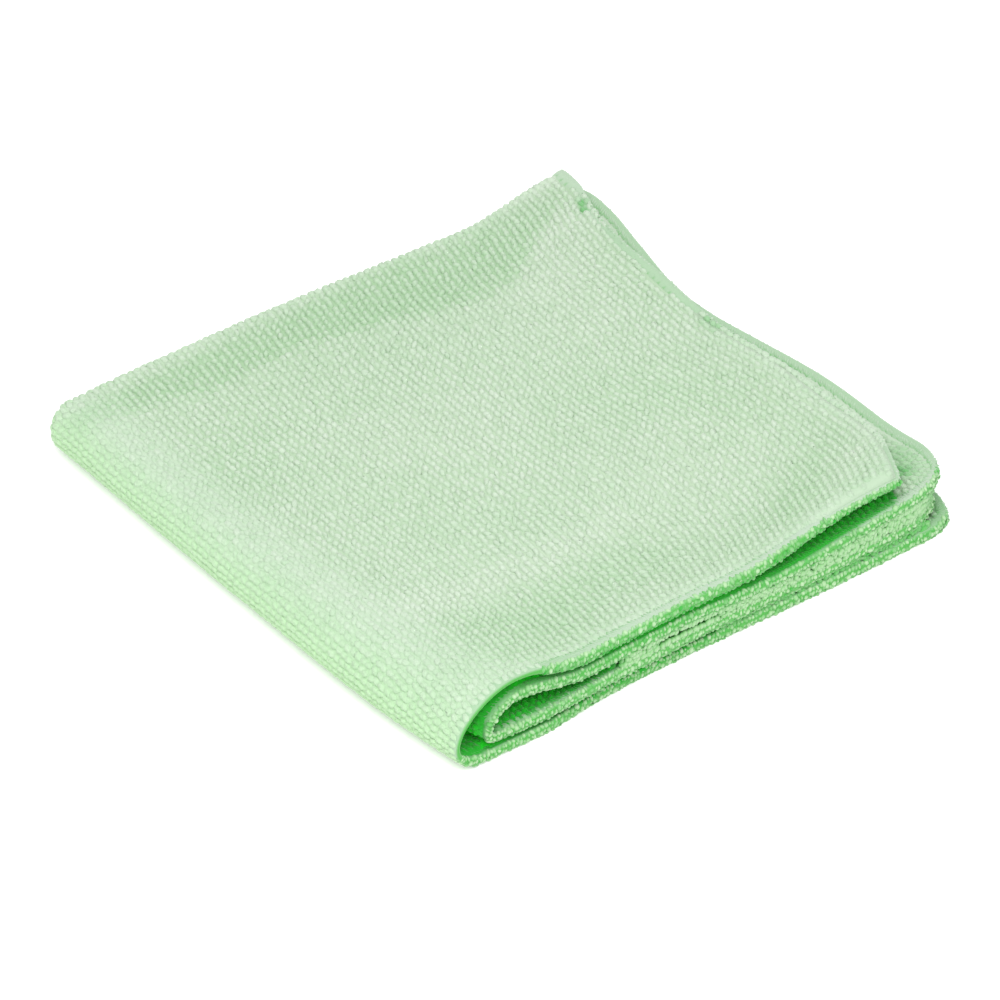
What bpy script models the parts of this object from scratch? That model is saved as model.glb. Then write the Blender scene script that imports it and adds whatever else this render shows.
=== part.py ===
"""Looped cleaning cloth folded in quarters and lying flat, as one closed solid.

Lengths in the tables are millimetres; the mesh is written in metres, +Z up.
The cloth is one sheet with two folds. The first fold (the crease) runs along
the -X side, the second fold (the bend) along the -Y side, so the four free
hemmed edges lie over one another on the +X and +Y sides. Layers are counted
from the top: 1 and 4 are the outer strip of the sheet, 2 and 3 the inner one.
"""

import bpy
import numpy as np

MM = 0.001

THICKNESS = 4.0  # cloth with its pile
CLEARANCE = 0.55  # between layers that lie on one another
RIM_ROUND = 1.0  # how far the rounding of a free edge reaches inwards

# The sheet is mapped from u (across the bend) and v (across the crease), both -1..1.
BEND_SHARE = 0.075
CREASE_SHARE = 0.05
BEND_STEPS = 10
CREASE_STEPS = 8
LONG_STEPS = 19  # along u, from the bend to the hem
CROSS_STEPS = 16  # along v, from the crease to the hem
HEM_SHARE = 0.024  # width of the last step, which carries the hem

# The mesh is moved so that the middle of its underside is the origin.
CENTRE_X = -2.0954
CENTRE_Y = -3.4328

# x of the crease line, along w = 0 (bend) .. 1 (hem): (w, x)
CREASE_X = (
    (0.00, -100.8),
    (0.15, -101.4),
    (0.50, -99.0),
    (0.66, -96.6),
    (0.80, -95.0),
    (0.92, -97.8),
    (1.00, -99.6),
)

# x of each layer's free edge, along w = 0 (bend) .. 1 (hem): layer: (w, x)
EDGE_X = {
    1: ((0.0, 101.0), (0.1, 101.5), (0.3, 100.5), (0.6, 100.0), (0.85, 98.5), (1.0, 98.8)),
    2: ((0.0, 100.5), (0.1, 101.0), (0.3, 100.0), (0.6, 99.5), (0.85, 99.5), (1.0, 98.5)),
    3: ((0.0, 100.5), (0.1, 101.5), (0.25, 100.5), (0.5, 99.5), (0.8, 99.5), (1.0, 98.5)),
    4: ((0.0, 101.0), (0.12, 101.3), (0.25, 98.9), (0.35, 98.4), (0.5, 98.8), (0.7, 100.0), (1.0, 100.2)),
}

# y of each layer's free edge, along t = 0 (crease) .. 1 (edge): layer: (t, y)
EDGE_Y = {
    1: (
        (0.00, 98.2),
        (0.04, 96.8),
        (0.10, 92.5),
        (0.20, 88.6),
        (0.32, 87.6),
        (0.45, 85.7),
        (0.65, 88.5),
        (0.85, 86.3),
        (1.00, 73.0),
    ),
    2: (
        (0.00, 98.2),
        (0.04, 100.6),
        (0.10, 100.2),
        (0.20, 96.2),
        (0.34, 91.2),
        (0.42, 91.8),
        (0.50, 94.4),
        (0.65, 99.0),
        (0.80, 99.6),
        (1.00, 98.8),
    ),
    3: ((0.0, 97.5), (0.2, 93.0), (0.4, 89.5), (0.6, 93.5), (0.75, 96.5), (1.0, 97.6)),
    4: ((0.0, 97.5), (0.2, 92.5), (0.4, 89.0), (0.6, 93.0), (0.75, 97.0), (1.0, 97.6)),
}

# y at which each layer enters the bend, along t: layer: (t, y)
BEND_Y = {
    1: ((0.0, -97.0), (0.5, -96.0), (0.85, -90.0), (1.0, -81.0)),
    4: ((0.0, -97.0), (0.5, -97.5), (0.85, -95.5), (1.0, -92.0)),
    2: ((0.0, -97.0), (0.5, -95.0), (0.8, -88.0), (1.0, -79.5)),
    3: ((0.0, -97.0), (0.5, -97.0), (0.8, -92.0), (1.0, -86.5)),
}

# how far the bend of each strip reaches past those lines, along t: (t, mm)
BEND_REACH = {
    "outer": ((0.0, 6.6), (0.5, 8.7), (0.85, 11.8), (1.0, 14.5)),
    "inner": ((0.0, 2.4), (0.5, 3.2), (0.8, 4.8), (1.0, 6.5)),
}

# share of a layer's width and length that its rounded free corner takes
CORNER_SHARE = {1: 0.02, 2: 0.12, 3: 0.12, 4: 0.075}

# x of the brow inside the crease, from which the stack falls towards it: (y, x)
BROW_X = (
    (-100.0, -86.0),
    (-75.0, -82.0),
    (-55.0, -77.0),
    (-40.0, -79.0),
    (-20.0, -79.0),
    (0.0, -73.0),
    (20.0, -66.0),
    (40.0, -62.0),
    (52.0, -65.0),
    (65.0, -74.0),
    (80.0, -83.0),
    (98.0, -88.0),
)
BROW_RISE = {3: 0.5, 2: 0.7, 1: 1.2}

# Soft ridges and hollows of the lying cloth, each along a line.
# above: the gap that takes it, named by the layer over it
# (above, x0, y0, x1, y1, half width, height)
RIDGES = (
    (3, 104.0, -50.0, 104.0, -10.0, 24.0, 0.9),
    (2, 104.0, -45.0, 104.0, -15.0, 20.0, 1.4),
    (1, 60.0, -78.0, 58.0, 0.0, 11.0, -0.7),
    (2, 66.0, -45.0, 70.0, 5.0, 18.0, -0.45),
    (1, 26.0, 78.0, 32.0, 10.0, 15.0, 0.6),
    (1, -26.0, 68.0, -14.0, 22.0, 17.0, -0.4),
    (1, -6.0, 8.0, -18.0, -40.0, 14.0, 0.3),
    (1, -46.0, -60.0, -58.0, -84.0, 15.0, -0.4),
)


def curve(table, at):
    """Smooth line through the (position, value) rows of a table."""
    place = np.array([row[0] for row in table])
    value = np.array([row[1] for row in table])
    slope = np.gradient(value, place)
    i = np.clip(np.searchsorted(place, at) - 1, 0, len(place) - 2)
    step = place[i + 1] - place[i]
    k = np.clip((at - place[i]) / step, 0.0, 1.0)
    start = (1 + 2 * k) * (1 - k) ** 2 * value[i] + k * (1 - k) ** 2 * step * slope[i]
    end = k * k * (3 - 2 * k) * value[i + 1] + k * k * (k - 1) * step * slope[i + 1]
    return start + end


def ramp(low, high, at):
    """Soft step from 0 at low to 1 at high."""
    k = np.clip((at - low) / (high - low), 0.0, 1.0)
    return k * k * (3 - 2 * k)


def ridge(x, y, x0, y0, x1, y1, width):
    """Height 1 along a line, falling away to both sides."""
    dx = x1 - x0
    dy = y1 - y0
    k = np.clip(((x - x0) * dx + (y - y0) * dy) / (dx * dx + dy * dy), 0.0, 1.0)
    away = np.hypot(x - x0 - k * dx, y - y0 - k * dy)
    return np.exp(-((away / width) ** 2))


def gaps(x, y):
    """Clear space under layers 3, 2 and 1 at a place in plan."""
    brow = curve(BROW_X, y)
    swell = ramp(brow - 27.0, brow + 4.0, x) ** 1.3
    gap = {above: CLEARANCE + rise * swell for above, rise in BROW_RISE.items()}
    # the hemmed edges over the +X side stand apart
    hem = ramp(66.0, 98.0, x)
    gap[2] = gap[2] + 1.0 * hem
    gap[1] = gap[1] + (0.2 + 1.3 * ramp(-30.0, 40.0, y)) * hem
    # the hollow inside the inner bend, widest at the open end
    hollow = 0.5 + 5.2 * ramp(-70.0, 101.0, x) ** 1.3
    gap[2] = gap[2] + hollow * (1 - ramp(-78.0, -50.0, y))
    gap[1] = gap[1] + 1.0 * ramp(20.0, 101.0, x) * (1 - ramp(-88.0, -66.0, y))
    # the far open corner, where the layers stand apart
    far = ramp(20.0, 88.0, y) * ramp(55.0, 98.0, x)
    gap[3] = gap[3] + 0.6 * far
    gap[2] = gap[2] + 3.9 * far
    # there the top layer rises to a slanting ridge and droops again to its tip
    slant = 0.83 * x + 0.55 * y
    gap[1] = gap[1] + 3.4 * ramp(82.0, 108.0, slant) * (1 - 0.42 * ramp(110.0, 130.0, slant))
    for above, x0, y0, x1, y1, width, height in RIDGES:
        gap[above] = gap[above] + height * ridge(x, y, x0, y0, x1, y1, width)
    return gap


def level(layer, x, y):
    """Height of the middle of a lying layer."""
    gap = gaps(x, y)
    z = THICKNESS / 2 + 0 * x
    for above in (3, 2, 1):
        if layer <= above:
            z = z + THICKNESS + gap[above]
    return z


def lying(layer, t, w):
    """Point of a lying layer, t from crease to edge, w from bend to hem."""
    share = CORNER_SHARE[layer]
    p = np.clip((t - 1 + share) / share, 0.0, 1.0)
    q = np.clip((w - 1 + share) / share, 0.0, 1.0)
    in_corner = (p > 0) & (q > 0)
    t = np.where(in_corner, 1 - share + share * p * np.sqrt(1 - q * q / 2), t)
    w = np.where(in_corner, 1 - share + share * q * np.sqrt(1 - p * p / 2), w)
    crease = curve(CREASE_X, w)
    x = crease + (curve(EDGE_X[layer], w) - crease) * t
    bend = curve(BEND_Y[layer], t)
    y = bend + (curve(EDGE_Y[layer], t) - bend) * w
    return x, y, level(layer, x, y)


def strip(name, u, t):
    """Point of the outer or the inner strip, with its bend."""
    upper, lower = {"outer": (1, 4), "inner": (2, 3)}[name]
    w = np.clip((np.abs(u) - BEND_SHARE) / (1 - BEND_SHARE), 0.0, 1.0)
    top = np.stack(lying(upper, t, w), -1)
    low = np.stack(lying(lower, t, w), -1)
    turn = np.sin(np.clip(u / BEND_SHARE, -1.0, 1.0) * np.pi / 2)[..., None]
    bent = (top + low) / 2 + (top - low) / 2 * turn
    out = np.cos(np.clip(u / BEND_SHARE, -1.0, 1.0) * np.pi / 2)
    bent[..., 1] = bent[..., 1] - curve(BEND_REACH[name], t) * out
    flat = np.where((u >= 0)[..., None], top, low)
    return np.where((np.abs(u) < BEND_SHARE)[..., None], bent, flat)


def folded(u, v):
    """Middle surface of the folded sheet."""
    t = np.clip((np.abs(v) - CREASE_SHARE) / (1 - CREASE_SHARE), 0.0, 1.0)
    outer = strip("outer", u, t)
    inner = strip("inner", u, t)
    middle = (outer + inner) / 2
    half = (outer - inner) / 2
    angle = np.clip(v / CREASE_SHARE, -1.0, 1.0) * np.pi / 2
    looped = middle + half * np.sin(angle)[..., None]
    reach = np.hypot(half[..., 1], half[..., 2])
    looped[..., 0] = looped[..., 0] - reach * np.cos(angle)
    flat = np.where((v >= 0)[..., None], outer, inner)
    return np.where((np.abs(v) < CREASE_SHARE)[..., None], looped, flat)


def unit(vector):
    return vector / np.maximum(np.linalg.norm(vector, axis=-1, keepdims=True), 1e-9)


def stations(share, bend_steps, flat_steps):
    """Grid positions -1..1, close together in the bend and at the hem."""
    flat = share + (1 - share) * np.linspace(0.0, 1.0 - HEM_SHARE, flat_steps + 1)
    flat = np.append(flat, 1.0)
    bend = np.linspace(-share, share, bend_steps + 1)
    return np.concatenate([-flat[::-1], bend[1:-1], flat])


def border(rows, columns):
    """Grid indices once round the border, and the index one step inside."""
    ring = []
    ring += [(i, 0) for i in range(rows - 1)]
    ring += [(rows - 1, j) for j in range(columns - 1)]
    ring += [(i, columns - 1) for i in range(rows - 1, 0, -1)]
    ring += [(0, j) for j in range(columns - 1, 0, -1)]
    inside = [(min(max(i, 1), rows - 2), min(max(j, 1), columns - 2)) for i, j in ring]
    return ring, inside


def build_cloth():
    u = stations(BEND_SHARE, BEND_STEPS, LONG_STEPS)
    v = stations(CREASE_SHARE, CREASE_STEPS, CROSS_STEPS)
    rows = len(u)
    columns = len(v)
    uu, vv = np.meshgrid(u, v, indexing="ij")
    middle = folded(uu, vv)
    normal = unit(np.cross(np.gradient(middle, axis=0), np.gradient(middle, axis=1)))
    ring, inside = border(rows, columns)
    ri = np.array([r[0] for r in ring])
    rj = np.array([r[1] for r in ring])
    ii = np.array([r[0] for r in inside])
    ij = np.array([r[1] for r in inside])
    edge = middle[ri, rj].copy()
    outward = unit(edge - middle[ii, ij])
    side = normal[ri, rj]
    face = middle.copy()
    face[ri, rj] = edge - outward * RIM_ROUND
    half = THICKNESS / 2
    points = [
        (face + normal * half).reshape(-1, 3),
        (face - normal * half).reshape(-1, 3),
        edge - outward * 0.25 + side * half * 0.62,
        edge,
        edge - outward * 0.25 - side * half * 0.62,
    ]
    count = rows * columns
    faces = []
    for i in range(rows - 1):
        for j in range(columns - 1):
            a = i * columns + j
            b = a + columns
            faces.append((a, b, b + 1, a + 1))
            faces.append((count + a, count + a + 1, count + b + 1, count + b))
    length = len(ring)
    first = [i * columns + j for i, j in ring]
    bands = [first]
    for k in range(3):
        bands.append([2 * count + k * length + n for n in range(length)])
    bands.append([count + n for n in first])
    for near, away in zip(bands[:-1], bands[1:]):
        for n in range(length):
            m = (n + 1) % length
            faces.append((near[m], near[n], away[n], away[m]))
    points = np.concatenate(points)
    points[:, 0] = points[:, 0] - CENTRE_X
    points[:, 1] = points[:, 1] - CENTRE_Y
    mesh = bpy.data.meshes.new("cloth")
    mesh.from_pydata((points * MM).tolist(), [], faces)
    for polygon in mesh.polygons:
        polygon.use_smooth = True
    cloth = bpy.data.objects.new("cloth", mesh)
    bpy.context.scene.collection.objects.link(cloth)
    return cloth


def fabric():
    material = bpy.data.materials.new("cloth_fabric")
    material.use_nodes = True
    shader = material.node_tree.nodes["Principled BSDF"]
    shader.inputs["Base Color"].default_value = (0.60, 0.80, 0.56, 1.0)
    shader.inputs["Roughness"].default_value = 0.95
    return material


for item in list(bpy.data.objects):
    bpy.data.objects.remove(item, do_unlink=True)

cloth = build_cloth()
cloth.data.materials.append(fabric())
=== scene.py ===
"""Folded microfibre cloth, dressed: fine sheet, pile loops, overlocked hem, stage.

The fold formulas repeat those of the solid, so every piece lies where the solid
lies. Tables and small sizes are in millimetres; meshes are written in metres.

The sheet is mapped from u (across the bend) and v (across the crease), -1..1.
Its front is the face that shows: the top of layer 1, the outside of the folds
and the underside of layer 4. Its back faces the gaps inside the folds.
"""

import bpy
import numpy as np
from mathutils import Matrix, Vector


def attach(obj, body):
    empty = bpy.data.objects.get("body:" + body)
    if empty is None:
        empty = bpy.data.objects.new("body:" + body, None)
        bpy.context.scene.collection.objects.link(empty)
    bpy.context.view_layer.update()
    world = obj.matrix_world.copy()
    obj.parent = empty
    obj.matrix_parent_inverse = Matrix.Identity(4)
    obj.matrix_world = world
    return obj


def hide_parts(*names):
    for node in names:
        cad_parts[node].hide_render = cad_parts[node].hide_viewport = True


MM = 0.001
FLAT_SIDE = 400.0  # side of the square cloth, laid flat

# ---- camera and light, in metres, degrees and watts
AZIMUTH = 51.8
ELEVATION = 38.3
DISTANCE = 5.0
VIEW_WIDTH = 0.31162  # seen across the picture, at the target
TARGET = (0.00049, -0.00276, -0.00325)
SENSOR_MM = 36.0
KEY_PLACE = (0.8, -0.6, 1.5)
KEY_SIZE = 1.2
KEY_POWER = 25.0
WORLD_STRENGTH = 0.88
FLOOR_HALF = 6.0
FLOOR_COLOUR = (0.82, 0.82, 0.82)
FLOOR_GLOW = 0.27  # keeps the paper white in the soft light

# ---- the fold, as in the solid
THICKNESS = 4.0
CLEARANCE = 0.55
BEND_SHARE = 0.075
CREASE_SHARE = 0.05
CENTRE = np.array([-2.0954, -3.4328, 0.0])  # place in the tables that becomes the origin

# Lines in plan. t runs from 0 at the crease to 1 at the edge, w from 0 at the bend to 1 at the hem.
# x of the crease: (w, x)
CREASE_X = (
    (0.00, -100.8), (0.15, -101.4), (0.50, -99.0), (0.66, -96.6), (0.80, -95.0), (0.92, -97.8),
    (1.00, -99.6),
)

# x of each layer's free edge: (w, x)
EDGE_X = {
    1: ((0.0, 101.0), (0.1, 101.5), (0.3, 100.5), (0.6, 100.0), (0.85, 98.5), (1.0, 98.8)),
    2: ((0.0, 100.5), (0.1, 101.0), (0.3, 100.0), (0.6, 99.5), (0.85, 99.5), (1.0, 98.5)),
    3: ((0.0, 100.5), (0.1, 101.5), (0.25, 100.5), (0.5, 99.5), (0.8, 99.5), (1.0, 98.5)),
    4: ((0.0, 101.0), (0.12, 101.3), (0.25, 98.9), (0.35, 98.4), (0.5, 98.8), (0.7, 100.0), (1.0, 100.2)),
}

# y of each layer's free edge: (t, y)
EDGE_Y = {
    1: (
        (0.00, 98.2), (0.04, 96.8), (0.10, 92.5), (0.20, 88.6), (0.32, 87.6), (0.45, 85.7),
        (0.65, 88.5), (0.85, 86.3), (1.00, 73.0),
    ),
    2: (
        (0.00, 98.2), (0.04, 100.6), (0.10, 100.2), (0.20, 96.2), (0.34, 91.2), (0.42, 91.8),
        (0.50, 94.4), (0.65, 99.0), (0.80, 99.6), (1.00, 98.8),
    ),
    3: ((0.0, 97.5), (0.2, 93.0), (0.4, 89.5), (0.6, 93.5), (0.75, 96.5), (1.0, 97.6)),
    4: ((0.0, 97.5), (0.2, 92.5), (0.4, 89.0), (0.6, 93.0), (0.75, 97.0), (1.0, 97.6)),
}

# y at which each layer enters the bend: (t, y)
BEND_Y = {
    1: ((0.0, -97.0), (0.5, -96.0), (0.85, -90.0), (1.0, -81.0)),
    4: ((0.0, -97.0), (0.5, -97.5), (0.85, -95.5), (1.0, -92.0)),
    2: ((0.0, -97.0), (0.5, -95.0), (0.8, -88.0), (1.0, -79.5)),
    3: ((0.0, -97.0), (0.5, -97.0), (0.8, -92.0), (1.0, -86.5)),
}

# how far the bend of each strip reaches past those lines: (t, mm)
BEND_REACH = {
    "outer": ((0.0, 6.6), (0.5, 8.7), (0.85, 11.8), (1.0, 14.5)),
    "inner": ((0.0, 2.4), (0.5, 3.2), (0.8, 4.8), (1.0, 6.5)),
}

# share of a layer's width and length that its rounded free corner takes
CORNER_SHARE = {1: 0.02, 2: 0.12, 3: 0.12, 4: 0.075}

# x of the brow inside the crease, from which the stack falls towards it: (y, x)
BROW_X = (
    (-100, -86), (-75, -82), (-55, -77), (-40, -79), (-20, -79), (0, -73),
    (20, -66), (40, -62), (52, -65), (65, -74), (80, -83), (98, -88),
)
BROW_RISE = {3: 0.5, 2: 0.7, 1: 1.2}

# Soft ridges and hollows of the lying cloth, each along a line.
# (layer over the gap that takes it, x0, y0, x1, y1, half width, height)
RIDGES = (
    (3, 104, -50, 104, -10, 24, 0.9),
    (2, 104, -45, 104, -15, 20, 1.4),
    (1, 60, -78, 58, 0, 11, -0.7),
    (2, 66, -45, 70, 5, 18, -0.45),
    (1, 26, 78, 32, 10, 15, 0.6),
    (1, -26, 68, -14, 22, 17, -0.4),
    (1, -6, 8, -18, -40, 14, 0.3),
    (1, -46, -60, -58, -84, 15, -0.4),
)

# Painted shade and light: patches where the pile is painted darker, or paler below 0, for the light and
# shade of the lying cloth.
# (x0, y0, x1, y1, half width, how much darker)
BROW_SHADE = 0.60
SHADES = (
    (50, -80, 50, 0, 7, -0.30),
    (70, -70, 72, -10, 13, 0.30),
    (62, 80, 80, 45, 9, 0.35),
    (65, 86, 92, 45, 7, -0.25),
    (-55, 35, -50, 40, 22, -0.20),
    (35, 25, 40, 20, 22, -0.20),
    (-14, -3, -28, -32, 16, -0.18),
    (5, 40, 25, 62, 14, 0.18),
    (-50, -70, -40, -78, 16, 0.18),
    (92, -70, 86, -50, 18, 0.35),
    (88, 30, 92, 72, 20, 0.25),
    (60, -92, 84, -88, 12, 0.20),
    (40, -106, 92, -106, 9, 0.16),
    (-96, 92, -96, 40, 7, -0.35),
    (-88, 90, -58, 62, 13, -0.12),
    (-60, 84, -25, 78, 9, 0.14),
    (-80, -30, -78, 30, 9, 0.15),
)

# ---- the sheet, its pile and its hem
GROUND_HALF = 0.9  # half the thickness of the knitted ground
WORN_SWELL = 0.5  # how much nearer the ground comes where the pile is worn flat
GROUND_STEP = 3.2  # spacing of the ground mesh
FOLD_STEPS = 14  # of the ground mesh round a fold
ROW_PITCH = 2.56  # between rows of loops, across the bend
LOOP_PITCH = 2.64  # between loops in a row
LOOP_TOP = THICKNESS / 2  # height of a loop's back over the middle of the sheet
LOOP_FOOT = 0.45  # height of its foot, inside the ground
LOOP_SIZE = (1.82, 1.08)  # half its length and half its width
LOOP_TURN = -8.0  # degrees from a row to the way a loop lies
KNOBBLE = 0.08  # how far the points of a loop stray
TURN_SPREAD = 0.26  # radians by which loops turn apart
LEAN_SPREAD = 0.10  # and lean apart
SIZE_SPREAD = 0.09  # share by which their sizes differ
HEM_WIDTH = 4.4
HEM_HALF = 1.9  # half the thickness of the hem
HEM_TO_LOOPS = 0.2  # from the hem to the first loops beside it
OVER_HEM = 1.6  # from the edge to the first loops that reach over the hem
TUCKED_HEM_TO_LOOPS = 9.0  # from the edge to the first loops behind the tucked hem
TURNED_SHIFT = 0.9  # how far the tucked hem beside the bend lies towards the front
STITCH_PITCH = 3.0
THREAD_PITCH = 1.05  # between threads laid over the hem
THREAD_SIZE = (2.1, 0.52, 0.40)  # half length, half width and height
THREAD_MIDDLE = 2.5  # in from the edge
THREAD_SUNK = 0.35  # how deep they lie in the hem
CURL_PITCH = 1.425  # between knots of thread along the edge, two to a stitch
CURL_SIZE = (1.05, 0.80, 0.74)
CURL_CENTRE = 0.9  # in from the edge, the line that the knots stand round
FAR_CURL_SHARE = 0.62  # size of the far edges' knots, as a share of the others'
# Rows of knots: (degrees round the edge from its middle, offset along it in pitches,
# share of the painted gap shade, and that share on the top layer's edge over +X)
CURL_ROWS = ((62.0, 0.0, 0.02, 0.12), (8.0, 0.5, 0.05, 0.24), (-52.0, 0.15, 0.10, 0.36))
# width of the top layer's far hem that its pile leaves bare, along it: (v, mm)
FAR_HEM_BARE = (
    (0.00, 5.0), (0.07, 4.9), (0.12, 0.3), (0.20, 0.4), (0.30, 2.6), (0.40, 3.4), (0.46, 0.6),
    (0.90, 0.8), (1.00, 2.0),
)
# Painted shade: dark spots of the gap colour beside the top layer's far hem, on its top or on the layer
# under it, where shade falls.
# (on the top layer, x and y from the origin, half width, share of the painted gap shade)
SHADE_SPOTS = (
    (True, -80.8, 94.3, 2.0, 0.38),
    (True, -77.6, 92.6, 1.7, 0.34),
    (True, -8.0, 87.8, 2.6, 0.26),
    (True, -4.6, 87.0, 2.0, 0.22),
    (False, 87.0, 87.6, 4.0, 0.34),
    (False, 80.0, 93.0, 7.0, 0.13),
)

# ---- painted shade and bounced green light inside the gaps
CREASE_OPEN = 3.0  # mm of the front beside the crease that lie in the open
BEND_GAP = 4.0  # how wide the gaps beside the bends count as
BEHIND_WEIGHT = 0.28  # how strong it is away from the +X side
# depths at which the painted shade starts, the painted bounced green light starts, and that light is full
GAP_DEPTHS = {"hem": (-0.5, 0.7, 2.9), "front": (0.0, 1.0, 6.5), "back": (0.0, 0.5, 4.0)}

# ---- pile standing out between the edges
FILL_PITCH = 1.5  # between its knots
FILL_SIZE = (1.15, 0.9)  # half length and height of a knot
FILL_ROW = 1.7  # height of the gap that one row of knots fills
FILL_SLOT = 1.7  # depth of the slot in the middle of its height
# Knots fill the height with one to three rows: (rows, height from the middle)
FILL_ROWS = ((1, 0.0), (2, -0.5), (2, 0.5), (3, -0.67), (3, 0.0), (3, 0.67))
# signs of u and v on the upper and on the lower layer, from and to along the edge, inset,
# widest gap that is filled, share of the painted gap shade
FILLS = (
    ((1, 1), (1, -1), 0.0, 1.0, 1.9, 2.6, 0.50),
    ((1, -1), (-1, -1), 0.27, 0.972, 0.9, 9.0, 0.07),
    ((-1, -1), (-1, 1), 0.0, 1.0, 1.4, 2.6, 0.34),
)

# ---- how much of the pile is made
SHOW_DEPTH = 14.0  # loops inside the gaps are made this far in from an edge
BEND_SHOW_DEPTH = 46.0  # and this far in beside the bend, where it stands open
CORNER_SHOW_DEPTH = 30.0  # and this far in from both edges at a corner
NEAR_SHARE = 0.54  # u at which the pile of the top is split into two pieces


# ---- fold formulas


def curve(table, at):
    """Smooth line through the (position, value) rows of a table."""
    place = np.array([row[0] for row in table])
    value = np.array([row[1] for row in table])
    slope = np.gradient(value, place)
    i = np.clip(np.searchsorted(place, at) - 1, 0, len(place) - 2)
    step = place[i + 1] - place[i]
    k = np.clip((at - place[i]) / step, 0.0, 1.0)
    start = (1 + 2 * k) * (1 - k) ** 2 * value[i] + k * (1 - k) ** 2 * step * slope[i]
    end = k * k * (3 - 2 * k) * value[i + 1] + k * k * (k - 1) * step * slope[i + 1]
    return start + end


def ramp(low, high, at):
    """Soft step from 0 at low to 1 at high."""
    k = np.clip((at - low) / (high - low), 0.0, 1.0)
    return k * k * (3 - 2 * k)


def fall(low, high, at):
    """Soft step from 1 at low to 0 at high."""
    return 1 - ramp(low, high, at)


def ridge(x, y, x0, y0, x1, y1, width):
    """Height 1 along a line, falling away to both sides."""
    dx = x1 - x0
    dy = y1 - y0
    k = np.clip(((x - x0) * dx + (y - y0) * dy) / (dx * dx + dy * dy), 0.0, 1.0)
    away = np.hypot(x - x0 - k * dx, y - y0 - k * dy)
    return np.exp(-((away / width) ** 2))


def gaps(x, y):
    """Clear space under layers 3, 2 and 1 at a place in plan."""
    brow = curve(BROW_X, y)
    swell = ramp(brow - 27.0, brow + 4.0, x) ** 1.3
    gap = {above: CLEARANCE + rise * swell for above, rise in BROW_RISE.items()}
    # the hemmed edges over the +X side stand apart
    hem = ramp(66.0, 98.0, x)
    gap[2] = gap[2] + 1.0 * hem
    gap[1] = gap[1] + (0.2 + 1.3 * ramp(-30.0, 40.0, y)) * hem
    # the hollow inside the inner bend, widest at the open end
    hollow = 0.5 + 5.2 * ramp(-70.0, 101.0, x) ** 1.3
    gap[2] = gap[2] + hollow * fall(-78.0, -50.0, y)
    gap[1] = gap[1] + 1.0 * ramp(20.0, 101.0, x) * fall(-88.0, -66.0, y)
    # the far open corner, where the layers stand apart
    far = ramp(20.0, 88.0, y) * ramp(55.0, 98.0, x)
    gap[3] = gap[3] + 0.6 * far
    gap[2] = gap[2] + 3.9 * far
    # there the top layer rises to a slanting ridge and droops again to its tip
    slant = 0.83 * x + 0.55 * y
    gap[1] = gap[1] + 3.4 * ramp(82.0, 108.0, slant) * (1 - 0.42 * ramp(110.0, 130.0, slant))
    for above, x0, y0, x1, y1, width, height in RIDGES:
        gap[above] = gap[above] + height * ridge(x, y, x0, y0, x1, y1, width)
    return gap


def level(layer, x, y):
    """Height of the middle of a lying layer."""
    gap = gaps(x, y)
    z = THICKNESS / 2 + 0 * x
    for above in (3, 2, 1):
        if layer <= above:
            z = z + THICKNESS + gap[above]
    return z


def beyond(fold, at):
    """Share of the way from the end of a fold (0) to the hem (1)."""
    return np.clip((np.abs(at) - fold) / (1 - fold), 0.0, 1.0)


def lying(layer, t, w):
    """Point of a lying layer, t from crease to edge, w from bend to hem."""
    share = CORNER_SHARE[layer]
    p = np.clip((t - 1 + share) / share, 0.0, 1.0)
    q = np.clip((w - 1 + share) / share, 0.0, 1.0)
    in_corner = (p > 0) & (q > 0)
    t = np.where(in_corner, 1 - share + share * p * np.sqrt(1 - q * q / 2), t)
    w = np.where(in_corner, 1 - share + share * q * np.sqrt(1 - p * p / 2), w)
    crease = curve(CREASE_X, w)
    x = crease + (curve(EDGE_X[layer], w) - crease) * t
    bend = curve(BEND_Y[layer], t)
    y = bend + (curve(EDGE_Y[layer], t) - bend) * w
    return x, y, level(layer, x, y)


def strip(name, u, t):
    """Point of the outer or the inner strip, with its bend."""
    upper, lower = {"outer": (1, 4), "inner": (2, 3)}[name]
    w = beyond(BEND_SHARE, u)
    top = np.stack(lying(upper, t, w), -1)
    low = np.stack(lying(lower, t, w), -1)
    angle = np.clip(u / BEND_SHARE, -1.0, 1.0) * np.pi / 2
    bent = (top + low) / 2 + (top - low) / 2 * np.sin(angle)[..., None]
    bent[..., 1] = bent[..., 1] - curve(BEND_REACH[name], t) * np.cos(angle)
    flat = np.where((u >= 0)[..., None], top, low)
    return np.where((np.abs(u) < BEND_SHARE)[..., None], bent, flat)


def folded(u, v):
    """Middle surface of the folded sheet."""
    t = beyond(CREASE_SHARE, v)
    outer = strip("outer", u, t)
    inner = strip("inner", u, t)
    middle = (outer + inner) / 2
    half = (outer - inner) / 2
    angle = np.clip(v / CREASE_SHARE, -1.0, 1.0) * np.pi / 2
    looped = middle + half * np.sin(angle)[..., None]
    reach = np.hypot(half[..., 1], half[..., 2])
    looped[..., 0] = looped[..., 0] - reach * np.cos(angle)
    flat = np.where((v >= 0)[..., None], outer, inner)
    place = np.where((np.abs(v) < CREASE_SHARE)[..., None], looped, flat)
    return place - CENTRE


# ---- places on the sheet


def unit(vector):
    """The same way, with length 1."""
    return vector / np.maximum(np.linalg.norm(vector, axis=-1, keepdims=True), 1e-9)


def measured(path):
    """Length along a path up to each of its points."""
    steps = np.linalg.norm(np.diff(path, axis=0), axis=1)
    return np.concatenate([[0.0], np.cumsum(steps)])


def surface(u, v):
    """Points, directions towards +u and +v, and the front's normal."""
    step = 0.002
    place = folded(u, v)
    to_u = unit(folded(u + step, v) - folded(u - step, v))
    to_v = unit(folded(u, v + step) - folded(u, v - step))
    return place, to_u, to_v, unit(np.cross(to_v, to_u))


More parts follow.
